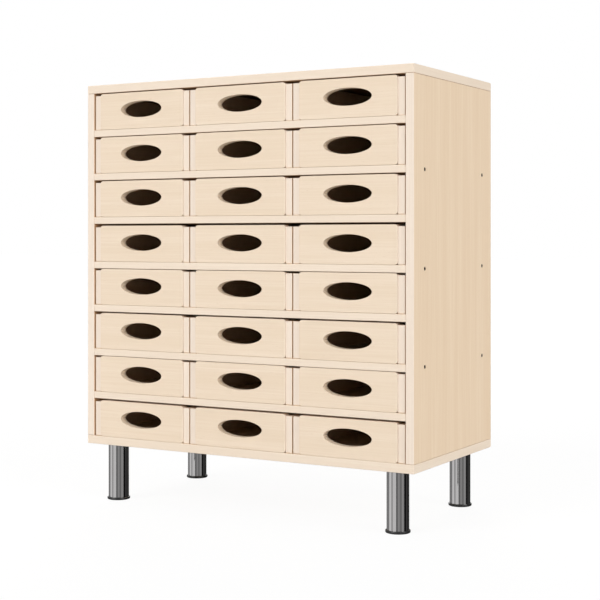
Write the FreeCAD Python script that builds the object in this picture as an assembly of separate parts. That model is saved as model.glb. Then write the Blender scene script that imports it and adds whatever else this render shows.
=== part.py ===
"""Classroom tray storage unit: a board cabinet on four round legs, with pull-out wooden trays.

Millimetres. X runs across the front, left to right, +Y runs from the front to the back and +Z is up.
The origin is on the floor, in the middle of the unit's width and depth.
"""

import FreeCAD, Part
import math
import os

# ---- Sizes of the cabinet ----
case_width = 800.0
panel_depth = 393.0  # top, bottom, sides and shelves, front to back
case_board = 18.0  # thickness of the top, the bottom and the sides
shelf_board = 15.0
row_opening = 81.75  # mean clear height of a row
row_offsets = (-0.05, -0.75, -0.15, 1.75, -1.35, 0.65, -1.55, 1.45)  # of each row from that, from the top
column_names = ("left", "centre", "right")
back_thickness = 3.0
back_margin = 1.0  # the back panel stays this far inside the cabinet's outline

# ---- Sizes of a tray ----
tray_gap = 2.5  # between two trays, and between a tray and the cabinet's side
tray_depth = 375.0
front_board = 18.0  # thickness of the front
tray_board = 15.0  # thickness of the sides and the back
tray_headroom = 0.9  # over the front, in the row with the least clear height
front_lift = 0.3  # the front clears the shelf, and the tray slides on its sides
front_corner = 6.0  # radius of the front's four corners
front_easing = 1.0  # radius round the front's outer face
side_drop = 3.4  # the sides and the back are this much lower than the front
side_setback = 2.8  # the sides' front ends stand behind the front's face
hole_width = 109.0  # the oval finger hole
hole_height = 35.8
hole_lift = 2.4  # the hole's centre over the front's centre
hole_easing = 0.6  # radius of both rims of the hole
tray_floor = 4.0  # thickness of the floor
floor_lift = 8.0  # the floor's underside over the shelf
groove_depth = 5.0
groove_slack = 0.1  # round the floor, in its groove

# ---- Sizes of the fixings ----
fixing_setback = 50.0  # dowels and screws, from the panels' front and rear edges
hole_slack = 0.05  # between a dowel or a screw and the wall of its hole
end_slack = 0.5  # past the end of a dowel or a screw
dowel_diameter = 8.0
dowel_grip = 18.0  # length in the end of a board
dowel_cover = 6.0  # board left beyond a dowel that stands in its face
case_screw_diameter = 4.5
case_screw_grip = 35.0  # length in the end of a shelf
case_screw_head = 6.0
case_screw_head_height = 4.0
case_screw_sink = 1.0  # the head lies under the side's face
case_screw_hexagon = 3.0  # across the flats
case_screw_hexagon_depth = 2.2
back_screw_diameter = 3.0
back_screw_head = 6.0
back_screw_head_height = 1.8
back_screw_length = 16.0
back_screw_end = 40.0  # the outermost screws of an edge, from the ends of the sides
back_screws_per_side = 6
back_screws_per_board = 3

# ---- Sizes of a leg ----
leg_inset_side = 54.5  # leg's centre from the cabinet's side face
leg_inset_front = 41.5
leg_inset_rear = 42.0  # from the rear edge of the bottom panel
tube_diameter = 45.0
tube_wall = 1.5
tube_length = 117.0
plate_rim = 6.5  # the plate's edge from the tube's outside
plate_thickness = 2.5
spigot_wall = 3.0  # the ring on the plate that the tube slides over
spigot_height = 12.0
plate_screws = 4
plate_screw_diameter = 4.0
plate_screw_head = 7.5
plate_screw_head_height = 2.2
plate_screw_length = 15.0
plate_screw_gap = 1.7  # from a screw's head to the ring's inside
plug_height = 25.0
foot_rim = 2.6  # the foot's edge from the tube's outside
foot_height = 5.5
foot_rounding = 1.6
stud_diameter = 10.0
stud_length = 36.0
stud_seat = 3.5  # depth of the stud's socket in the foot

touching = 0.001  # points closer than this are in one plane

# ---- Places worked out from the sizes ----
row_openings = [row_opening + offset for offset in row_offsets]
rows = len(row_openings)
columns = len(column_names)
inner_width = case_width - 2 * case_board
side_height = sum(row_openings) + (rows - 1) * shelf_board
case_base = foot_height + tube_length + plate_thickness
case_top = case_base + side_height + 2 * case_board
front_y = -(panel_depth + back_thickness) / 2
rear_y = front_y + panel_depth
tray_width = (inner_width - (columns + 1) * tray_gap) / columns
front_height = min(row_openings) - front_lift - tray_headroom
wall_height = front_lift + front_height - side_drop
opening_width = tray_width - 2 * tray_board
spigot_radius = tube_diameter / 2 - tube_wall - hole_slack
ring_radius = spigot_radius - spigot_wall
plate_screw_reach = ring_radius - plate_screw_gap - plate_screw_head / 2
screwed_shelves = range(2, rows, 2)
depth_places = (front_y + fixing_setback, (front_y + rear_y) / 2, rear_y - fixing_setback)

right = FreeCAD.Vector(1, 0, 0)
back = FreeCAD.Vector(0, 1, 0)
up = FreeCAD.Vector(0, 0, 1)


def point(x, y, z):
    return FreeCAD.Vector(x, y, z)


def block(low, high):
    """A box between two opposite corners."""
    return Part.makeBox(high[0] - low[0], high[1] - low[1], high[2] - low[2], point(*low))


def rod(start, axis, diameter, length):
    return Part.makeCylinder(diameter / 2, length, start, axis)


def cut_all(solid, tools):
    """The solid with every tool cut away."""
    return solid.cut(tools).removeSplitter()


def countersunk(start, axis, shank, head, head_height, length, slack=0.0):
    """A countersunk screw, or its hole, with the face of its head at start."""
    cone = Part.makeCone(head / 2 + slack, shank / 2 + slack, head_height, start, axis)
    return cone.fuse(rod(start, axis, shank + 2 * slack, length + slack)).removeSplitter()


def row_base(row):
    """Height of the board that the trays of a row stand on; row 0 is the top one."""
    below = row_openings[row + 1 :]
    return case_base + case_board + sum(below) + len(below) * shelf_board


def column_centre(column):
    return (column - (columns - 1) / 2) * (tray_width + tray_gap)


def shelf_middle(shelf):
    """Height of the middle of a shelf's thickness; shelf 1 is under the top row."""
    return row_base(shelf - 1) - shelf_board / 2


def save(node, solids):
    shape = solids[0] if len(solids) == 1 else Part.makeCompound(solids)
    assert shape.isValid(), node
    shape.exportStep(os.path.join("parts", node + ".step"))
    print(f"{node}: {len(solids)} solid(s), {shape.Volume / 1000:.1f} cm3")


# ---- Dowels ----
def dowel_pairs():
    """Each hidden dowel as (point on the joint, direction into the board's end)."""
    board_middle = case_width / 2 - case_board / 2
    pairs = []
    for side in (-1, 1):
        for y in depth_places:
            pairs.append((point(side * board_middle, y, case_base + case_board), up))
            pairs.append((point(side * board_middle, y, case_top - case_board), -up))
    return pairs


def shelf_dowel_pairs():
    """The same for the shelves; a screwed shelf has only its middle dowel."""
    pairs = []
    for shelf in range(1, rows):
        places = depth_places[1:2] if shelf in screwed_shelves else depth_places
        for side in (-1, 1):
            for y in places:
                joint = point(side * inner_width / 2, y, shelf_middle(shelf))
                pairs.append((joint, right * -side))
    return pairs


def dowel(joint, inwards, slack=0.0, extra=0.0):
    """A dowel across a joint, or its hole: dowel_grip in one board, the rest in the other."""
    in_face = case_board - dowel_cover + extra
    length = in_face + dowel_grip + extra
    return rod(joint - inwards * in_face, inwards, dowel_diameter + 2 * slack, length)


def dowel_holes(pairs):
    return [dowel(joint, inwards, hole_slack, end_slack) for joint, inwards in pairs]


# ---- Screws through the sides into the shelves ----
def case_screw_places():
    """Each screw as (point on the side's outer face, direction inwards)."""
    places = []
    for shelf in screwed_shelves:
        for side in (-1, 1):
            for y in (depth_places[0], depth_places[-1]):
                places.append((point(side * case_width / 2, y, shelf_middle(shelf)), right * -side))
    return places


def case_screw(face, inwards):
    """A cap screw whose head lies sunk in the side."""
    top = face + inwards * case_screw_sink
    shank_length = case_board - case_screw_sink + case_screw_grip
    screw = rod(top, inwards, case_screw_head, case_screw_head_height)
    screw = screw.fuse(rod(top, inwards, case_screw_diameter, shank_length)).removeSplitter()
    reach = case_screw_hexagon / math.sqrt(3)
    corners = []
    for turn in range(7):
        angle = math.radians(60 * turn)
        corners.append(top + back * (reach * math.cos(angle)) + up * (reach * math.sin(angle)))
    hexagon = Part.Face(Part.makePolygon(corners))
    return screw.cut(hexagon.extrude(inwards * case_screw_hexagon_depth))


def case_screw_hole(face, inwards):
    counterbore = case_screw_sink + case_screw_head_height + hole_slack
    length = case_board + case_screw_grip + end_slack
    wide = rod(face, inwards, case_screw_head + 2 * hole_slack, counterbore)
    return wide.fuse(rod(face, inwards, case_screw_diameter + 2 * hole_slack, length)).removeSplitter()


# ---- Screws of the back panel ----
def back_screw_places():
    """Points on the back panel's rear face, over the middle of each board's edge."""
    rear = rear_y + back_thickness
    edge = case_width / 2 - case_board / 2
    low = case_base + case_board + back_screw_end
    step = (side_height - 2 * back_screw_end) / (back_screws_per_side - 1)
    places = []
    for side in (-1, 1):
        for number in range(back_screws_per_side):
            places.append(point(side * edge, rear, low + number * step))
    heights = (case_base + case_board / 2, shelf_middle(rows // 2), case_top - case_board / 2)
    spacing = inner_width / (back_screws_per_board + 1)
    for z in heights:
        for number in range(back_screws_per_board):
            places.append(point((number + 1) * spacing - inner_width / 2, rear, z))
    return places


def back_screw(place, slack=0.0, extra=0.0):
    sizes = (back_screw_diameter, back_screw_head, back_screw_head_height)
    return countersunk(place, -back, *sizes, back_screw_length + extra, slack)


def back_screw_holes():
    return [back_screw(place, hole_slack, end_slack) for place in back_screw_places()]


# ---- Boards of the cabinet ----
def side_panel(side):
    """One side; side is -1 for the left and 1 for the right."""
    across = sorted((side * inner_width / 2, side * case_width / 2))
    board = block((across[0], front_y, case_base + case_board), (across[1], rear_y, case_top - case_board))
    holes = dowel_holes(dowel_pairs() + shelf_dowel_pairs())
    holes += [case_screw_hole(face, inwards) for face, inwards in case_screw_places()]
    return cut_all(board, holes + back_screw_holes())


def cross_panel(base):
    """The bottom or the top, which lies under or over the sides."""
    half = case_width / 2
    board = block((-half, front_y, base), (half, rear_y, base + case_board))
    return cut_all(board, dowel_holes(dowel_pairs()) + back_screw_holes() + plate_screw_holes())


def shelf_panel(shelf):
    half = inner_width / 2
    low = shelf_middle(shelf) - shelf_board / 2
    board = block((-half, front_y, low), (half, rear_y, low + shelf_board))
    holes = dowel_holes(shelf_dowel_pairs()) + back_screw_holes()
    holes += [case_screw_hole(face, inwards) for face, inwards in case_screw_places()]
    return cut_all(board, holes)


def back_panel():
    half = case_width / 2 - back_margin
    low = (-half, rear_y, case_base + back_margin)
    high = (half, rear_y + back_thickness, case_top - back_margin)
    return cut_all(block(low, high), back_screw_holes())


# ---- Trays, each made round x = 0 with its face at y = 0 and its sides standing on z = 0 ----
def tray_floor_panel(slack=0.0):
    """The floor, or with slack the grooves that it lies in."""
    reach = groove_depth - groove_slack + slack
    half = opening_width / 2 + reach
    low = (-half, front_board - reach, floor_lift - slack)
    high = (half, tray_depth - tray_board + reach, floor_lift + tray_floor + slack)
    return block(low, high)


def finger_hole():
    """The oval that is cut straight through the front."""
    oval = Part.Ellipse(point(0, 0, 0), hole_width / 2, hole_height / 2)
    face = Part.Face(Part.Wire(oval.toShape()))
    face.rotate(point(0, 0, 0), right, 90)
    face.translate(point(0, 0, front_lift + front_height / 2 + hole_lift))
    return face.extrude(back * front_board)


def is_hole_rim(edge):
    return isinstance(edge.Curve, Part.Ellipse)


def lies_on_face(edge):
    """Whether a straight or round edge lies in the plane of the tray's face."""
    return edge.BoundBox.YLength < touching and abs(edge.BoundBox.YMin) < touching


def tray_front():
    half = opening_width / 2
    board = block((-half, 0, front_lift), (half, front_board, front_lift + front_height))
    corners = [edge for edge in board.Edges if edge.BoundBox.YLength > front_board / 2]
    board = board.makeFillet(front_corner, corners)
    board = board.makeFillet(front_easing, [edge for edge in board.Edges if lies_on_face(edge)])
    board = board.cut(finger_hole())
    board = board.makeFillet(hole_easing, [edge for edge in board.Edges if is_hole_rim(edge)])
    return board.cut(tray_floor_panel(groove_slack))


def tray_side(side):
    across = sorted((side * opening_width / 2, side * tray_width / 2))
    board = block((across[0], side_setback, 0), (across[1], tray_depth, wall_height))
    return board.cut(tray_floor_panel(groove_slack))


def tray_back():
    half = opening_width / 2
    board = block((-half, tray_depth - tray_board, 0), (half, tray_depth, wall_height))
    return board.cut(tray_floor_panel(groove_slack))


def tray():
    return [tray_front(), tray_side(-1), tray_side(1), tray_back(), tray_floor_panel()]


# ---- Legs ----
def leg_places():
    """Each leg as (name, x, y)."""
    x = case_width / 2 - leg_inset_side
    front = front_y + leg_inset_front
    rear = rear_y - leg_inset_rear
    return (
        ("front_left", -x, front),
        ("front_right", x, front),
        ("rear_left", -x, rear),
        ("rear_right", x, rear),
    )


def ring(x, y, base, outer, inner, height):
    """An upright tube between two radii."""
    return Part.makeCylinder(outer, height, point(x, y, base)).cut(
        Part.makeCylinder(inner, height, point(x, y, base))
    )


def leg_tube(x, y):
    return ring(x, y, foot_height, tube_diameter / 2, tube_diameter / 2 - tube_wall, tube_length)


def plate_screw_places(x, y):
    """Points on the underside of a leg's plate, inside its ring."""
    places = []
    for number in range(plate_screws):
        angle = 2 * math.pi * (number + 0.5) / plate_screws
        across = plate_screw_reach * math.cos(angle)
        along = plate_screw_reach * math.sin(angle)
        places.append(point(x + across, y + along, case_base - plate_thickness))
    return places


def plate_screw(place, slack=0.0, extra=0.0):
    sizes = (plate_screw_diameter, plate_screw_head, plate_screw_head_height)
    return countersunk(place, up, *sizes, plate_screw_length + extra, slack)


def plate_screw_holes():
    holes = []
    for _, x, y in leg_places():
        holes += [plate_screw(place, hole_slack, end_slack) for place in plate_screw_places(x, y)]
    return holes


def leg_plate(x, y):
    """The plate under the bottom panel, with the ring that holds the tube."""
    base = case_base - plate_thickness
    plate = Part.makeCylinder(tube_diameter / 2 + plate_rim, plate_thickness, point(x, y, base))
    plate = plate.fuse(ring(x, y, base - spigot_height, spigot_radius, ring_radius, spigot_height))
    holes = [plate_screw(place, hole_slack) for place in plate_screw_places(x, y)]
    return cut_all(plate, holes)


def leg_plug(x, y):
    """The plug in the tube's lower end, which the foot's stud turns in."""
    return ring(x, y, foot_height, spigot_radius, stud_diameter / 2 + hole_slack, plug_height)


def foot_disc(x, y):
    disc = Part.makeCylinder(tube_diameter / 2 + foot_rim, foot_height, point(x, y, 0))
    disc = disc.makeFillet(foot_rounding, [edge for edge in disc.Edges if edge.Closed])
    socket = rod(point(x, y, foot_height - stud_seat), up, stud_diameter + 2 * hole_slack, stud_seat)
    return disc.cut(socket)


def foot_stud(x, y):
    return rod(point(x, y, foot_height - stud_seat), up, stud_diameter, stud_length)


# ---- Writing the pieces ----
def write_cabinet():
    save("left_side_panel", [side_panel(-1)])
    save("right_side_panel", [side_panel(1)])
    save("bottom_panel", [cross_panel(case_base)])
    save("top_panel", [cross_panel(case_top - case_board)])
    save("back_panel", [back_panel()])
    for shelf in range(1, rows):
        save(f"shelf_{shelf}", [shelf_panel(shelf)])


def write_fixings():
    save("case_dowels", [dowel(joint, inwards) for joint, inwards in dowel_pairs()])
    save("shelf_dowels", [dowel(joint, inwards) for joint, inwards in shelf_dowel_pairs()])
    save("case_screws", [case_screw(face, inwards) for face, inwards in case_screw_places()])
    save("back_panel_screws", [back_screw(place) for place in back_screw_places()])


def write_legs():
    plates, screws, plugs = [], [], []
    for name, x, y in leg_places():
        save(f"{name}_leg_tube", [leg_tube(x, y)])
        save(f"{name}_foot", [foot_disc(x, y)])
        save(f"{name}_foot_stud", [foot_stud(x, y)])
        plates.append(leg_plate(x, y))
        plugs.append(leg_plug(x, y))
        screws += [plate_screw(place) for place in plate_screw_places(x, y)]
    save("leg_plates", plates)
    save("leg_plugs", plugs)
    save("leg_plate_screws", screws)


def write_trays():
    pieces = tray()
    for row in range(rows):
        for column, name in enumerate(column_names):
            place = point(column_centre(column), front_y, row_base(row))
            save(f"tray_{name}_{row + 1}", [piece.translated(place) for piece in pieces])


os.makedirs("parts", exist_ok=True)
write_cabinet()
write_fixings()
write_legs()
write_trays()
print(f"{case_width:g} x {panel_depth + back_thickness:g} x {case_top:g} mm")
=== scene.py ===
import math
import random

import bmesh
import bpy
from mathutils import Matrix, Vector


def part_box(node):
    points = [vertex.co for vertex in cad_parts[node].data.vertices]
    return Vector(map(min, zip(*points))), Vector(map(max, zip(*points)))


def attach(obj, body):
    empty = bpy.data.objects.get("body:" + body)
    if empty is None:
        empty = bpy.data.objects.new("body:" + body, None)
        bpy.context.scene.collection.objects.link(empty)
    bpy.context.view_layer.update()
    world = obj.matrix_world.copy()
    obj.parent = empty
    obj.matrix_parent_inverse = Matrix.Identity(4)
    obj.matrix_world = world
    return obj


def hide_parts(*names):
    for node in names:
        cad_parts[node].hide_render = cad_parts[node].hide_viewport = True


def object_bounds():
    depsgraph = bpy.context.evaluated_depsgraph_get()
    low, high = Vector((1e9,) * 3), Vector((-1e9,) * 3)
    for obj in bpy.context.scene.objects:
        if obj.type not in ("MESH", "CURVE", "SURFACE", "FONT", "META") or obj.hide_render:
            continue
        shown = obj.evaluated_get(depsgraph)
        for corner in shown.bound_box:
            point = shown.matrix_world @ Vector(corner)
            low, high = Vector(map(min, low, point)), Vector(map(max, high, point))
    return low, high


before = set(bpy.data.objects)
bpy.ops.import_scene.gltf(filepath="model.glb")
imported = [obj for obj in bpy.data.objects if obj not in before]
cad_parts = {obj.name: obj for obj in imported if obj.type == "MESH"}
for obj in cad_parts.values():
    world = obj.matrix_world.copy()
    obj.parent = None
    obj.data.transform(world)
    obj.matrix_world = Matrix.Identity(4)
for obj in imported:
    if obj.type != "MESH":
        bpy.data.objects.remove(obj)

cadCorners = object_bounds()
dice = random.Random(24)  # every random choice comes from here
rowCount = 8              # rows of trays, with a shelf between each two
touching = 1e-6           # points closer than this are in one plane
sharpAngle = 30           # edges that turn by more than this, in degrees, can be eased
smoothAngle = 35          # edges that turn by less than this, in degrees, are shaded smooth


# Selecting, easing and cutting. All lengths are metres.

def selectOnly(piece):
    bpy.ops.object.select_all(action="DESELECT")
    piece.select_set(True)
    bpy.context.view_layer.objects.active = piece


def applyModifiers(piece):
    selectOnly(piece)
    for name in [modifier.name for modifier in piece.modifiers]:
        bpy.ops.object.modifier_apply(modifier=name)


def bakePlace(piece, name):
    # the place goes into the mesh, and the object stays at the origin
    piece.name = name
    selectOnly(piece)
    bpy.ops.object.transform_apply(location=True, rotation=True, scale=True)
    return piece


def middleOf(low, high):
    return (Vector(low) + Vector(high)) / 2


def addBoard(name, low, high):
    bpy.ops.object.select_all(action="DESELECT")
    bpy.ops.mesh.primitive_cube_add(size=1, location=middleOf(low, high))
    board = bpy.context.active_object
    board.scale = Vector(high) - Vector(low)
    return bakePlace(board, name)


def addCone(name, middle, lowRadius, highRadius, height, turn=(0, 0, 0)):
    bpy.ops.object.select_all(action="DESELECT")
    bpy.ops.mesh.primitive_cone_add(
        vertices=32, radius1=lowRadius, radius2=highRadius, depth=height, location=middle, rotation=turn)
    return bakePlace(bpy.context.active_object, name)


def addRod(name, middle, radius, length, turn=(0, 0, 0), corners=48, ends="NGON"):
    bpy.ops.object.select_all(action="DESELECT")
    bpy.ops.mesh.primitive_cylinder_add(
        vertices=corners, radius=radius, depth=length, end_fill_type=ends, location=middle, rotation=turn)
    return bakePlace(bpy.context.active_object, name)


def cutAway(piece, cutter):
    boolean = piece.modifiers.new("cut", "BOOLEAN")
    boolean.operation = "DIFFERENCE"
    boolean.solver = "EXACT"
    boolean.object = cutter
    applyModifiers(piece)
    bpy.data.objects.remove(cutter, do_unlink=True)


def roundEdges(piece, width, steps, isWanted):
    selectOnly(piece)
    bpy.ops.object.mode_set(mode="EDIT")
    bpy.ops.mesh.select_mode(type="EDGE")
    bpy.ops.mesh.select_all(action="DESELECT")
    editMesh = bmesh.from_edit_mesh(piece.data)
    for edge in editMesh.edges:
        edge.select_set(isWanted(edge))
    bmesh.update_edit_mesh(piece.data)
    bpy.ops.mesh.bevel(offset=width, segments=steps, profile=0.5, affect="EDGES")
    bpy.ops.object.mode_set(mode="OBJECT")


def isSharp(edge):
    return edge.is_manifold and edge.calc_face_angle() > math.radians(sharpAngle)


def easeEdges(piece, width, steps, isThere):
    # rounds the sharp edges whose two ends are where the test says
    def isWanted(edge):
        return isSharp(edge) and all(isThere(vert.co) for vert in edge.verts)

    roundEdges(piece, width, steps, isWanted)


def easeAll(piece, width, steps=2):
    roundEdges(piece, width, steps, isSharp)


def shadeSoft(piece):
    # smooth on the rounded edges, and still flat on the wide faces
    selectOnly(piece)
    bpy.ops.object.shade_smooth_by_angle(angle=math.radians(smoothAngle))
    weighted = piece.modifiers.new("flatFaces", "WEIGHTED_NORMAL")
    weighted.keep_sharp = True
    applyModifiers(piece)


def joinPieces(name, pieces):
    bpy.ops.object.select_all(action="DESELECT")
    for piece in pieces:
        piece.select_set(True)
    bpy.context.view_layer.objects.active = pieces[0]
    bpy.ops.object.join()
    pieces[0].name = name
    return pieces[0]


def copyTo(master, name, place, turn=None):
    # a copy with its own mesh, its place in the mesh
    piece = bpy.data.objects.new(name, master.data.copy())
    bpy.context.scene.collection.objects.link(piece)
    if turn is not None:
        piece.data.transform(turn)
    piece.data.transform(Matrix.Translation(place))
    return piece


def discard(master):
    bpy.data.objects.remove(master, do_unlink=True)


def looseParts(node):
    # the box of each separate solid of a CAD node, as (lowest corner, highest corner)
    solids = bmesh.new()
    solids.from_mesh(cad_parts[node].data)
    bmesh.ops.remove_doubles(solids, verts=solids.verts, dist=touching)
    left, boxes = set(solids.verts), []
    while left:
        island, fringe = set(), [left.pop()]
        while fringe:
            vert = fringe.pop()
            island.add(vert)
            near = [edge.other_vert(vert) for edge in vert.link_edges]
            fresh = [other for other in near if other in left]
            left.difference_update(fresh)
            fringe += fresh
        spots = [vert.co for vert in island]
        low = Vector([min(spot[axis] for spot in spots) for axis in range(3)])
        high = Vector([max(spot[axis] for spot in spots) for axis in range(3)])
        boxes.append((low, high))
    solids.free()
    return sorted(boxes, key=lambda box: tuple(box[0]))


def dress(piece, body, node):
    # the piece stands for the CAD node and moves with the body
    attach(piece, body)
    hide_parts(node)


# Materials

def colour(red, green, blue):
    # a screen colour, 0 to 255, as the shader's own values
    levels = [value / 255 for value in (red, green, blue)]
    return tuple(v / 12.92 if v <= 0.04045 else ((v + 0.055) / 1.055) ** 2.4 for v in levels) + (1,)


def addNode(tree, kind, inputs=None, **settings):
    node = tree.nodes.new(kind)
    for key, value in settings.items():
        setattr(node, key, value)
    for key, value in (inputs or {}).items():
        if isinstance(value, bpy.types.NodeSocket):
            tree.links.new(value, node.inputs[key])
        else:
            node.inputs[key].default_value = value
    return node


def newFinish(name, **shader):
    material = bpy.data.materials.new(name)
    material.use_nodes = True
    tree = material.node_tree
    principled = tree.nodes["Principled BSDF"]
    for key, value in shader.items():
        principled.inputs[key.replace("_", " ")].default_value = value
    return material, tree, principled


def mixColour(tree, factor, first, second):
    # a Mix node has its factor at input 0 and its two colours at 6 and 7
    return addNode(tree, "ShaderNodeMix", {0: factor, 6: first, 7: second}, data_type="RGBA").outputs[2]


def remap(tree, value, span, newSpan):
    keys = {
        "Value": value, "From Min": span[0], "From Max": span[1], "To Min": newSpan[0], "To Max": newSpan[1],
    }
    return addNode(tree, "ShaderNodeMapRange", keys).outputs[0]


def addNoise(tree, vector, scale, detail, roughness=0.5):
    keys = {"Vector": vector, "Scale": scale, "Detail": detail, "Roughness": roughness}
    return addNode(tree, "ShaderNodeTexNoise", keys).outputs[0]


def addBump(tree, principled, height, size):
    keys = {"Strength": size["bumpStrength"], "Distance": size["bumpHeight"], "Height": height}
    tree.links.new(addNode(tree, "ShaderNodeBump", keys).outputs[0], principled.inputs["Normal"])


def stretched(tree, vector, grain, along, across, detail, roughness=0.6):
    # noise drawn out along the grain; along and across are features per metre
    scale = [across] * 3
    scale["XYZ".index(grain)] = along
    mapped = addNode(tree, "ShaderNodeMapping", {"Vector": vector, "Scale": scale}).outputs[0]
    return addNoise(tree, mapped, 1.0, detail, roughness)


woodGrain = {
    "fibres": (5, 330),           # along and across, features per metre
    "figure": (1.3, 36),
    "flecks": (90, 750),
    "fibreSpan": (0.3, 0.7),      # noise levels over which each layer comes in
    "figureSpan": (0.38, 0.66),
    "fleckSpan": (0.66, 0.78),
    "figureDepth": 0.65,          # how strongly each layer shows
    "fleckDepth": 0.25,
    "wander": 0.004,              # how far the fibres follow the figure
    "shift": 3,                   # how far each piece's stretch of board may lie from the others
    "gloss": 0.3,
    "roughSpan": (0.06, -0.03),   # from dark fibres to pale ones, added to the look's roughness
    "bumpStrength": 0.35,
    "bumpHeight": 0.00006,
}


def shiftGrain(piece):
    # each piece is cut from its own stretch of board
    shift = [dice.uniform(-woodGrain["shift"], woodGrain["shift"]) for _ in range(3)]
    layer = piece.data.attributes.new("grainShift", "FLOAT_VECTOR", "POINT")
    layer.data.foreach_set("vector", shift * len(piece.data.vertices))


def woodFinish(name, grain, look):
    material, tree, principled = newFinish(name, Specular_IOR_Level=woodGrain["gloss"])
    coords = addNode(tree, "ShaderNodeTexCoord").outputs["Object"]
    shift = addNode(tree, "ShaderNodeAttribute", attribute_name="grainShift").outputs["Vector"]
    place = addNode(tree, "ShaderNodeVectorMath", {0: coords, 1: shift}, operation="ADD").outputs[0]
    figure = stretched(tree, place, grain, *woodGrain["figure"], detail=3)
    lean = {0: figure, 1: [woodGrain["wander"]] * 3, 2: place}
    bent = addNode(tree, "ShaderNodeVectorMath", lean, operation="MULTIPLY_ADD").outputs[0]
    fibres = stretched(tree, bent, grain, *woodGrain["fibres"], detail=4, roughness=0.65)
    flecks = stretched(tree, bent, grain, *woodGrain["flecks"], detail=1)
    paleShare = remap(tree, fibres, woodGrain["fibreSpan"], (0, 1))
    bandShare = remap(tree, figure, woodGrain["figureSpan"], (0, woodGrain["figureDepth"]))
    fleckShare = remap(tree, flecks, woodGrain["fleckSpan"], (0, woodGrain["fleckDepth"]))
    wood = mixColour(tree, paleShare, look["line"], look["pale"])
    wood = mixColour(tree, bandShare, wood, look["band"])
    wood = mixColour(tree, fleckShare, wood, look["fleck"])
    tree.links.new(wood, principled.inputs["Base Color"])
    roughSpan = [look["rough"] + change for change in woodGrain["roughSpan"]]
    tree.links.new(remap(tree, fibres, woodGrain["fibreSpan"], roughSpan), principled.inputs["Roughness"])
    addBump(tree, principled, fibres, woodGrain)
    return material


def woodLook(pale, line, band, fleck, rough=0.46):
    # the ground colour, and those of the fibres, the broad figure and the flecks in it
    look = {"pale": colour(*pale), "line": colour(*line), "band": colour(*band), "fleck": colour(*fleck)}
    look["rough"] = rough
    return look


woodLooks = {
    "caseLaminate": woodLook((244, 222, 194), (236, 211, 181), (235, 209, 178), (212, 181, 147)),
    "trayLaminate": woodLook((244, 226, 204), (236, 215, 190), (235, 214, 188), (214, 188, 158)),
    "edgeBand": woodLook((246, 230, 211), (240, 222, 201), (239, 221, 200), (224, 200, 172)),
    "uprightBand": woodLook((247, 232, 216), (241, 224, 206), (240, 223, 205), (225, 204, 180)),
    # painted shade: a darker laminate for the undersides of the top and shelves and the inner faces of the
    # sides, so the gaps round the trays look dark
    "paintedShadeLaminate": woodLook((216, 178, 138), (206, 166, 126), (204, 164, 124), (184, 142, 104), rough=0.5),
    # painted shade: a darker laminate for the outer faces of the tray sides and backs, so the gaps between
    # trays look dark
    "paintedShadeOuterLaminate": woodLook((230, 201, 166), (221, 190, 153), (219, 188, 150), (199, 166, 127), rough=0.5),
    "insideLaminate": woodLook((244, 221, 194), (237, 212, 183), (235, 210, 180), (215, 185, 151), rough=0.5),
    "holeWall": woodLook((242, 224, 202), (236, 216, 192), (235, 215, 190), (218, 194, 166), rough=0.5),
}
finishes = {}
for lookName, look in woodLooks.items():
    for grain in "XYZ":
        finishes[lookName + grain] = woodFinish(lookName + grain, grain, look)

mottle = {
    "cloudWidth": 30,             # clouds are this many times as wide as the grains
    "noiseSpan": 0.25,            # noise levels on each side of the middle
    "bumpStrength": 0.3,
    "bumpHeight": 0.00004,
}


def mottledFinish(name, pale, dark, grains, rough, clouds=1.0, **shader):
    # grains per metre over soft clouds, for pressed, cast and plated surfaces
    material, tree, principled = newFinish(name, **shader)
    coords = addNode(tree, "ShaderNodeTexCoord").outputs["Object"]
    fine = addNoise(tree, coords, grains, detail=3)
    cloudy = addNoise(tree, coords, grains / mottle["cloudWidth"], detail=2)
    layers = {0: cloudy, 1: clouds, 2: fine}
    both = addNode(tree, "ShaderNodeMath", layers, operation="MULTIPLY_ADD").outputs[0]
    middle = (clouds + 1) / 2
    span = (middle - mottle["noiseSpan"], middle + mottle["noiseSpan"])
    shade = mixColour(tree, remap(tree, both, span, (0, 1)), colour(*dark), colour(*pale))
    tree.links.new(shade, principled.inputs["Base Color"])
    tree.links.new(remap(tree, both, span, rough[::-1]), principled.inputs["Roughness"])
    addBump(tree, principled, fine, mottle)
    return material


beechLook = woodLook((214, 176, 132), (190, 150, 108), (196, 156, 112), (150, 108, 70))
finishes["beech"] = woodFinish("beechDowel", "Y", beechLook)
finishes["hardboard"] = mottledFinish(
    "hardboard", (231, 212, 187), (221, 200, 173), 700, (0.5, 0.62), 0.3, Specular_IOR_Level=0.25)
finishes["blackScrew"] = mottledFinish(
    "blackScrew", (27, 20, 16), (18, 13, 11), 3000, (0.5, 0.65), Specular_IOR_Level=0.2)
finishes["zinc"] = mottledFinish(
    "zincPlate", (198, 199, 202), (176, 177, 181), 2500, (0.28, 0.42), Metallic=1.0)
finishes["chrome"] = mottledFinish(
    "chrome", (228, 226, 226), (224, 222, 222), 500, (0.05, 0.075), Metallic=1.0)
finishes["footPlastic"] = mottledFinish("footPlastic", (47, 47, 48), (38, 38, 39), 2600, (0.3, 0.42))
print("finishes made:", len(finishes))


def faceBoard(board, thickness, grain, lowLook, highLook):
    # a look on each of the two wide sides, and bands along the narrow ones
    # thickness and grain are axis letters
    flat = "XYZ".index(thickness)
    board.data.materials.clear()
    for name in (lowLook + grain, highLook + grain, "edgeBandX", "edgeBandY", "uprightBandZ"):
        board.data.materials.append(finishes[name])
    for face in board.data.polygons:
        size = [abs(part) for part in face.normal]
        if size[flat] > 0.8:
            face.material_index = int(face.normal[flat] > 0)
        else:
            size[flat] = -1
            across = size.index(max(size))
            face.material_index = 2 + (3 - flat - across)  # the band runs along the axis that is left


# Cabinet boards

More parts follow.
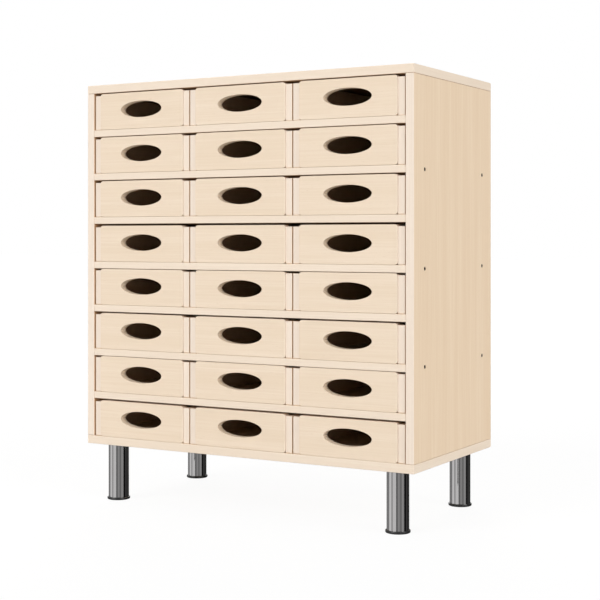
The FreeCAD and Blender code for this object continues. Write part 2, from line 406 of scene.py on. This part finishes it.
cabinetSize = {
    "easing": 0.0011,
    "jointLine": 0.0004,      # the hairline over and under each side
    "recessRadius": 0.0039,   # round the head of each case screw
    "recessDepth": 0.0052,
}
cabinetBoards = {
    # node: (piece, thickness axis, grain axis, look of the low side, look of the high side)
    # the undersides of the top and shelves and the inner faces of the sides take the darker laminate, which
    # is painted shade
    "top_panel": ("topBoard", "Z", "X", "paintedShadeLaminate", "caseLaminate"),
    "bottom_panel": ("bottomBoard", "Z", "X", "caseLaminate", "caseLaminate"),
    "left_side_panel": ("leftSideBoard", "X", "Z", "caseLaminate", "paintedShadeLaminate"),
    "right_side_panel": ("rightSideBoard", "X", "Z", "paintedShadeLaminate", "caseLaminate"),
}
for number in range(1, rowCount):
    cabinetBoards[f"shelf_{number}"] = (f"shelfBoard{number}", "Z", "X", "paintedShadeLaminate", "caseLaminate")

drilledSides = {"left_side_panel": -1, "right_side_panel": 1}
caseScrewBoxes = looseParts("case_screws")


def outerFace(box):
    # the side's face over a case screw: -1 for the left side, 1 for the right one
    return 1 if box[1].x > 0 else -1


def drillRecesses(board, side):
    size = cabinetSize
    for box in caseScrewBoxes:
        if outerFace(box) == side:
            middle = middleOf(*box)
            middle.x = side * cadCorners[1].x
            turn = (0, math.pi / 2, 0)
            cutAway(board, addRod("recess", middle, size["recessRadius"], 2 * size["recessDepth"], turn))


def makeCabinetBoard(node, name, thickness, grain, lowLook, highLook):
    low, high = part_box(node)
    if node in drilledSides:
        low.z += cabinetSize["jointLine"]
        high.z -= cabinetSize["jointLine"]
    board = addBoard(name, low, high)
    easeAll(board, cabinetSize["easing"], 3)
    if node in drilledSides:
        drillRecesses(board, drilledSides[node])
    shadeSoft(board)
    faceBoard(board, thickness, grain, lowLook, highLook)
    shiftGrain(board)
    dress(board, "cabinet", node)


for node, setup in cabinetBoards.items():
    makeCabinetBoard(node, *setup)
print("cabinet boards made:", len(cabinetBoards))


# Screws, each modelled upright with the face of its head at z = 0, then turned into place

capScrew = {
    "head": 0.0038,
    "headHeight": 0.004,
    "shank": 0.00225,
    "shankCorners": 24,
    "length": 0.053,
    "hexagon": 0.00173,       # from the middle to a corner
    "socket": 0.0022,
    "chamfer": 0.0002,
    "sink": 0.0001,           # the head lies this much under the side's face
}
crossScrew = {
    "head": 0.003,
    "headHeight": 0.0018,
    "shank": 0.0015,
    "shankCorners": 16,
    "length": 0.016,
    "slotLength": 0.0034,
    "slotWidth": 0.0007,
    "slotDepth": 0.0009,
}


def addShank(screw, size):
    middle = (0, 0, -(size["headHeight"] + size["length"]) / 2)
    length = size["length"] - size["headHeight"]
    shank = addRod("shank", middle, size["shank"], length, corners=size["shankCorners"])
    screw = joinPieces(screw.name, [screw, shank])
    shadeSoft(screw)
    return screw


def makeCapScrew(size):
    screw = addRod("capScrew", (0, 0, -size["headHeight"] / 2), size["head"], size["headHeight"], corners=40)
    easeEdges(screw, size["chamfer"], 2, lambda spot: spot.z > -touching)
    cutAway(screw, addRod("socket", (0, 0, 0), size["hexagon"], 2 * size["socket"], corners=6))
    return addShank(screw, size)


def makeCrossScrew(size):
    middle = (0, 0, -size["headHeight"] / 2)
    screw = addCone("crossScrew", middle, size["shank"], size["head"], size["headHeight"])
    half = (size["slotLength"] / 2, size["slotWidth"] / 2)
    for x, y in (half, half[::-1]):
        cutAway(screw, addBoard("slot", (-x, -y, -size["slotDepth"]), (x, y, size["slotDepth"])))
    return addShank(screw, size)


def setScrews(name, master, places, finish, node):
    # one piece of all the screws; each place is a point and a turn
    copies = [copyTo(master, "copy", point, turn) for point, turn in places]
    discard(master)
    screws = joinPieces(name, copies)
    screws.data.materials.clear()
    screws.data.materials.append(finishes[finish])
    dress(screws, "cabinet", node)


def makeCaseScrews():
    places = []
    for box in caseScrewBoxes:
        side = outerFace(box)
        point = middleOf(*box)
        point.x = side * (cadCorners[1].x - capScrew["sink"])
        places.append((point, Matrix.Rotation(side * math.pi / 2, 4, "Y")))
    setScrews("caseScrews", makeCapScrew(capScrew), places, "blackScrew", "case_screws")


def makeBackScrews():
    places = []
    for low, high in backScrewBoxes:
        point = middleOf(low, high)
        point.y = high.y
        spin = Matrix.Rotation(dice.uniform(0, math.pi), 4, "Z")
        places.append((point, Matrix.Rotation(-math.pi / 2, 4, "X") @ spin))
    setScrews("backScrews", makeCrossScrew(crossScrew), places, "zinc", "back_panel_screws")


backScrewBoxes = looseParts("back_panel_screws")
makeCaseScrews()
makeBackScrews()


backSize = {
    "easing": 0.0005,
    "sinkWide": 0.0031,       # radii of the countersinks
    "sinkNarrow": 0.0014,
    "sinkHeight": 0.0017,
    "sinkMiddle": 0.0008,     # under the panel's face
}


def makeBackBoard():
    size = backSize
    board = addBoard("backBoard", *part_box("back_panel"))
    easeAll(board, size["easing"])
    for low, high in backScrewBoxes:
        middle = middleOf(low, high)
        middle.y = high.y - size["sinkMiddle"]
        turn = (math.pi / 2, 0, 0)
        cutAway(board, addCone(
            "countersink", middle, size["sinkWide"], size["sinkNarrow"], size["sinkHeight"], turn))
    shadeSoft(board)
    board.data.materials.clear()
    board.data.materials.append(finishes["hardboard"])
    dress(board, "cabinet", "back_panel")


makeBackBoard()
print("back board and screws made")


# Trays, modelled once round x = 0 with the face at y = 0 and the sides standing on z = 0

trayLow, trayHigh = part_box("tray_centre_1")
traySize = {
    "width": trayHigh.x - trayLow.x,
    "depth": trayHigh.y - trayLow.y,
    "frontBoard": 0.018,
    "board": 0.015,           # thickness of the sides and the back
    "frontLow": 0.0003,       # the front clears the shelf
    "frontHigh": trayHigh.z - trayLow.z,
    "sideDrop": 0.0034,       # of the sides and the back, under the front's top
    "setback": 0.0028,        # of the sides' front ends
    "corner": 0.006,
    "easing": 0.001,
    "sideEasing": 0.0005,
    "footEasing": 0.002,      # along the bottom of each side
    "holeHalfWidth": 0.0545,
    "holeHalfHeight": 0.0179,
    "holeLift": 0.0024,
    "holeEasing": 0.0006,
    "holeRim": 0.0005,        # edges up to this far outside the hole are its rim
    "holeRound": 112,         # corners of the oval
    "floorLow": 0.008,
    "floorHigh": 0.012,
    "floorEasing": 0.0004,
    "groove": 0.0049,
    "grooveSlack": 0.0001,
}
traySize["holeMiddle"] = (traySize["frontLow"] + traySize["frontHigh"]) / 2 + traySize["holeLift"]
traySize["wallHigh"] = traySize["frontHigh"] - traySize["sideDrop"]


def trayFloorBox(slack):
    size = traySize
    reach = size["groove"] + slack
    half = size["width"] / 2 - size["board"] + reach
    low = (-half, size["frontBoard"] - reach, size["floorLow"] - slack)
    high = (half, size["depth"] - size["board"] + reach, size["floorHigh"] + slack)
    return low, high


def cutGroove(board):
    cutAway(board, addBoard("groove", *trayFloorBox(traySize["grooveSlack"])))


def isByHole(spot, margin):
    size = traySize
    across = spot.x / (size["holeHalfWidth"] + margin)
    rise = (spot.z - size["holeMiddle"]) / (size["holeHalfHeight"] + margin)
    return across ** 2 + rise ** 2 < 1


def cutHole(front):
    size = traySize
    middle = (0, size["frontBoard"] / 2, size["holeMiddle"])
    turn = (math.pi / 2, 0, 0)
    oval = addRod("oval", (0, 0, 0), 1, 4 * size["frontBoard"], turn, corners=size["holeRound"])
    oval.scale = (size["holeHalfWidth"], 1, size["holeHalfHeight"])
    oval.location = middle
    cutAway(front, bakePlace(oval, "oval"))


def makeTrayFront():
    size = traySize
    half = size["width"] / 2 - size["board"]
    front = addBoard("front", (-half, 0, size["frontLow"]), (half, size["frontBoard"], size["frontHigh"]))

    def runsBack(edge):
        return abs(edge.verts[0].co.y - edge.verts[1].co.y) > size["frontBoard"] / 2

    roundEdges(front, size["corner"], 7, runsBack)
    easeEdges(front, size["easing"], 3, lambda spot: abs(spot.y) < touching)
    cutHole(front)
    easeEdges(front, size["holeEasing"], 2, lambda spot: isByHole(spot, size["holeRim"]))
    cutGroove(front)
    shadeSoft(front)
    faceBoard(front, "Y", "X", "trayLaminate", "insideLaminate")
    holeSlot = len(front.data.materials)
    front.data.materials.append(finishes["holeWallX"])
    for face in front.data.polygons:
        if isByHole(face.center, 0) and abs(face.normal.y) < 0.5:
            face.material_index = holeSlot
    return front


def makeTraySide(side):
    size = traySize
    outer = side * size["width"] / 2
    left, right = sorted((outer, outer - side * size["board"]))
    board = addBoard("side", (left, size["setback"], 0), (right, size["depth"], size["wallHigh"]))
    easeEdges(board, size["footEasing"], 3, lambda spot: spot.z < touching)
    easeAll(board, size["sideEasing"])
    cutGroove(board)
    shadeSoft(board)
    # the outer face takes the darker laminate, which is painted shade for the gaps between trays
    looks = ["paintedShadeOuterLaminate", "insideLaminate"]
    faceBoard(board, "X", "Y", *looks[::-side])
    return board


def makeTrayBack():
    size = traySize
    half = size["width"] / 2 - size["board"]
    low = (-half, size["depth"] - size["board"], 0)
    board = addBoard("back", low, (half, size["depth"], size["wallHigh"]))
    easeAll(board, size["sideEasing"])
    cutGroove(board)
    shadeSoft(board)
    # the outer face takes the darker laminate, which is painted shade
    faceBoard(board, "Y", "X", "insideLaminate", "paintedShadeOuterLaminate")
    return board


def makeTrayFloor():
    floor = addBoard("floor", *trayFloorBox(0))
    easeAll(floor, traySize["floorEasing"])
    floor.data.materials.append(finishes["hardboard"])
    return floor


def makeTrays():
    boards = [makeTrayFront(), makeTraySide(-1), makeTraySide(1), makeTrayBack(), makeTrayFloor()]
    master = joinPieces("trayMaster", boards)
    for column in ("left", "centre", "right"):
        for row in range(1, rowCount + 1):
            node = f"tray_{column}_{row}"
            low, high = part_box(node)
            tray = copyTo(master, f"{column}Tray{row}", Vector(((low.x + high.x) / 2, low.y, low.z)))
            shiftGrain(tray)
            dress(tray, node, node)
    discard(master)


makeTrays()
print("trays made")


# Legs, modelled once round the z axis

legNames = ("front_left", "front_right", "rear_left", "rear_right")
tubeLow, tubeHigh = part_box("front_left_leg_tube")
footLow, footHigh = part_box("front_left_foot")
studLow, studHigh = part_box("front_left_foot_stud")
legSize = {
    "tube": (tubeHigh.x - tubeLow.x) / 2,
    "wall": 0.0015,
    "foot": (footHigh.x - footLow.x) / 2,
    "footRounding": 0.0016,
    "studCrest": 0.005,
    "studRoot": 0.0042,
    "pitch": 0.0015,
    "studStart": 0.001,       # the plain end of a stud
    "tubeEasing": 0.0003,
    "socketSlack": 0.00005,   # round the stud, in the foot
}


def makeTube():
    size = legSize
    middle = (0, 0, (tubeLow.z + tubeHigh.z) / 2)
    tube = addRod("tube", middle, size["tube"], tubeHigh.z - tubeLow.z, corners=128, ends="NOTHING")
    wall = tube.modifiers.new("wall", "SOLIDIFY")
    wall.thickness = size["wall"]
    wall.offset = -1
    applyModifiers(tube)
    easeAll(tube, size["tubeEasing"])
    shadeSoft(tube)
    tube.data.materials.append(finishes["chrome"])
    return tube


def makeFoot():
    size = legSize
    height = footHigh.z - footLow.z
    foot = addRod("foot", (0, 0, height / 2), size["foot"], height, corners=96)
    easeAll(foot, size["footRounding"], 6)
    socketRadius = size["studCrest"] + size["socketSlack"]
    cutAway(foot, addRod("socket", (0, 0, height), socketRadius, 2 * (height - studLow.z)))
    shadeSoft(foot)
    foot.data.materials.clear()
    foot.data.materials.append(finishes["footPlastic"])
    return foot


def makeStud():
    # grown upwards from its foot: half a pitch in to the root, half a pitch out to the crest
    size = legSize
    start = size["studStart"]
    stud = addRod("stud", (0, 0, studLow.z + start / 2), size["studRoot"], start, corners=32)
    turns = int((studHigh.z - studLow.z - 2 * start) / size["pitch"])
    step = (studHigh.z - studLow.z - 2 * start) / turns / 2
    selectOnly(stud)
    bpy.ops.object.mode_set(mode="EDIT")
    bpy.ops.mesh.select_mode(type="FACE")
    bpy.ops.mesh.select_all(action="DESELECT")
    editMesh = bmesh.from_edit_mesh(stud.data)
    for face in editMesh.faces:
        face.select_set(face.normal.z > 0.9)
    bmesh.update_edit_mesh(stud.data)
    wider = size["studCrest"] / size["studRoot"]
    for growth in [wider, 1 / wider] * turns + [1]:
        rise = start if growth == 1 else step
        bpy.ops.mesh.extrude_region_move(TRANSFORM_OT_translate={"value": (0, 0, rise)})
        bpy.ops.transform.resize(value=(growth, growth, 1))
    bpy.ops.object.mode_set(mode="OBJECT")
    stud.data.materials.append(finishes["zinc"])
    return stud


def makeLegs():
    tube, foot, stud = makeTube(), makeFoot(), makeStud()
    for name in legNames:
        place = middleOf(*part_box(f"{name}_leg_tube"))
        place.z = 0
        end, side = name.split("_")
        label = end + side.capitalize()
        body = f"{name}_levelling_foot"
        dress(copyTo(tube, f"{label}Tube", place), "cabinet", f"{name}_leg_tube")
        dress(copyTo(foot, f"{label}Foot", place), body, f"{name}_foot")
        dress(copyTo(stud, f"{label}Stud", place), body, f"{name}_foot_stud")
    for master in (tube, foot, stud):
        discard(master)


makeLegs()
print("legs made")


# CAD nodes that stay: they sit inside the boards and tubes

keptNodes = {
    "case_dowels": "beech",
    "shelf_dowels": "beech",
    "leg_plates": "zinc",
    "leg_plate_screws": "zinc",
    "leg_plugs": "footPlastic",
}
for node, finish in keptNodes.items():
    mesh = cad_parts[node].data
    mesh.materials.clear()
    mesh.materials.append(finishes[finish])
print("inner nodes finished:", len(keptNodes))


# Camera, floor and light

cameraSetup = {"place": (1.509, -2.561, 0.585), "turn": 29.98, "lens": 80.8, "shiftY": -0.106}
studio = {
    "ambient": 0.47,          # strength of the even light from all round
    "cards": 1.25,            # strength of what polished metal sees
    "floorWidth": 60,
    "floorDrop": 0.0001,      # the feet stand this far over the floor
    "floorShade": (212, 212, 212),
    "floorGlow": 1.05,        # how white the floor looks to the camera
    "floorShadow": 0.12,      # share of the floor's look that takes shadows
}
# Each lamp: the way to it, its strength and how wide it looks, in degrees
studioLamps = {
    "sideLamp": ((0.93, -0.18, 0.32), 1.435, 36),
    "frontLamp": ((-0.35, -0.80, 0.49), 1.44, 36),
    "backLamp": ((-0.45, 0.74, 0.50), 1.2, 36),
}
# What polished metal sees round it: the brightness from each bearing on, in degrees.
# 0 is over the camera, and the bearings grow to its right.
reflectedStudio = (
    (-180, 118), (-104, 190), (-77, 146), (-57, 184), (-23.5, 84), (-13, 104), (-2.5, 134), (8, 120),
    (19, 98), (31, 118), (36, 134), (50, 124), (61, 16), (86, 58), (102, 38), (122, 50))


def makeCamera(setup):
    data = bpy.data.cameras.new("camera")
    data.lens = setup["lens"]
    data.shift_y = setup["shiftY"]
    camera = bpy.data.objects.new("camera", data)
    camera.location = setup["place"]
    camera.rotation_euler = (math.pi / 2, 0, math.radians(setup["turn"]))
    bpy.context.scene.collection.objects.link(camera)
    bpy.context.scene.camera = camera


def makeFloor():
    bpy.ops.object.select_all(action="DESELECT")
    bpy.ops.mesh.primitive_plane_add(size=studio["floorWidth"], location=(0, 0, -studio["floorDrop"]))
    floor = bakePlace(bpy.context.active_object, "floor")
    material = bpy.data.materials.new("paleFloor")
    material.use_nodes = True
    tree = material.node_tree
    tree.nodes.clear()
    rays = addNode(tree, "ShaderNodeLightPath").outputs
    matt = addNode(tree, "ShaderNodeBsdfDiffuse", {"Color": colour(*studio["floorShade"])}).outputs[0]
    glow = addNode(tree, "ShaderNodeEmission", {"Strength": studio["floorGlow"]}).outputs[0]
    seen = addNode(tree, "ShaderNodeMixShader", {0: studio["floorShadow"], 1: glow, 2: matt}).outputs[0]
    plain = addNode(tree, "ShaderNodeMixShader", {0: rays["Is Camera Ray"], 1: matt, 2: seen}).outputs[0]
    clear = addNode(tree, "ShaderNodeBsdfTransparent").outputs[0]
    mirrored = addNode(tree, "ShaderNodeMixShader", {0: rays["Is Glossy Ray"], 1: plain, 2: clear}).outputs[0]
    underneath = addNode(tree, "ShaderNodeNewGeometry").outputs["Backfacing"]
    oneSided = addNode(tree, "ShaderNodeMixShader", {0: underneath, 1: mirrored, 2: clear}).outputs[0]
    addNode(tree, "ShaderNodeOutputMaterial", {"Surface": oneSided})
    floor.data.materials.append(material)


def makeWorld():
    world = bpy.data.worlds.new("softStudio")
    bpy.context.scene.world = world
    world.use_nodes = True
    tree = world.node_tree
    tree.nodes.clear()
    rays = addNode(tree, "ShaderNodeLightPath").outputs
    direction = addNode(tree, "ShaderNodeTexCoord").outputs["Generated"]
    parts = addNode(tree, "ShaderNodeSeparateXYZ", {0: direction}).outputs
    south = addNode(tree, "ShaderNodeMath", {0: parts["Y"], 1: -1.0}, operation="MULTIPLY").outputs[0]
    bearing = addNode(tree, "ShaderNodeMath", {0: parts["X"], 1: south}, operation="ARCTAN2").outputs[0]
    start = math.radians(cameraSetup["turn"] - 180)
    turned = addNode(tree, "ShaderNodeMath", {0: bearing, 1: start}, operation="SUBTRACT").outputs[0]
    share = addNode(tree, "ShaderNodeMath", {0: turned, 1: 1 / math.tau}, operation="MULTIPLY").outputs[0]
    around = addNode(tree, "ShaderNodeMath", {0: share}, operation="FRACT").outputs[0]
    ramp = addNode(tree, "ShaderNodeValToRGB", {0: around})
    ramp.color_ramp.interpolation = "CONSTANT"
    stops = ramp.color_ramp.elements
    while len(stops) < len(reflectedStudio):
        stops.new(1.0)
    for stop, (degrees, grey) in zip(stops, reflectedStudio):
        stop.position = (degrees + 180) / 360
        stop.color = colour(grey, grey, grey)

    def shine(tint, strength):
        return addNode(tree, "ShaderNodeBackground", {"Color": tint, "Strength": strength}).outputs[0]

    plain = (1, 1, 1, 1)
    seen = shine(plain, studio["ambient"])
    white = shine(plain, 1.0)
    cards = shine(ramp.outputs[0], studio["cards"])
    for ray, sight in (("Is Glossy Ray", cards), ("Is Transmission Ray", white), ("Is Camera Ray", white)):
        seen = addNode(tree, "ShaderNodeMixShader", {0: rays[ray], 1: seen, 2: sight}).outputs[0]
    addNode(tree, "ShaderNodeOutputWorld", {"Surface": seen})


def makeLamp(name, wayToLamp, strength, width):
    data = bpy.data.lights.new(name, "SUN")
    data.energy = strength
    data.angle = math.radians(width)
    lamp = bpy.data.objects.new(name, data)
    lamp.rotation_euler = Vector(wayToLamp).to_track_quat("Z", "Y").to_euler()
    bpy.context.scene.collection.objects.link(lamp)


makeCamera(cameraSetup)
makeFloor()
makeWorld()
for lampName, setup in studioLamps.items():
    makeLamp(lampName, *setup)
bpy.context.scene.view_settings.view_transform = "Standard"
print("camera, floor and light made")
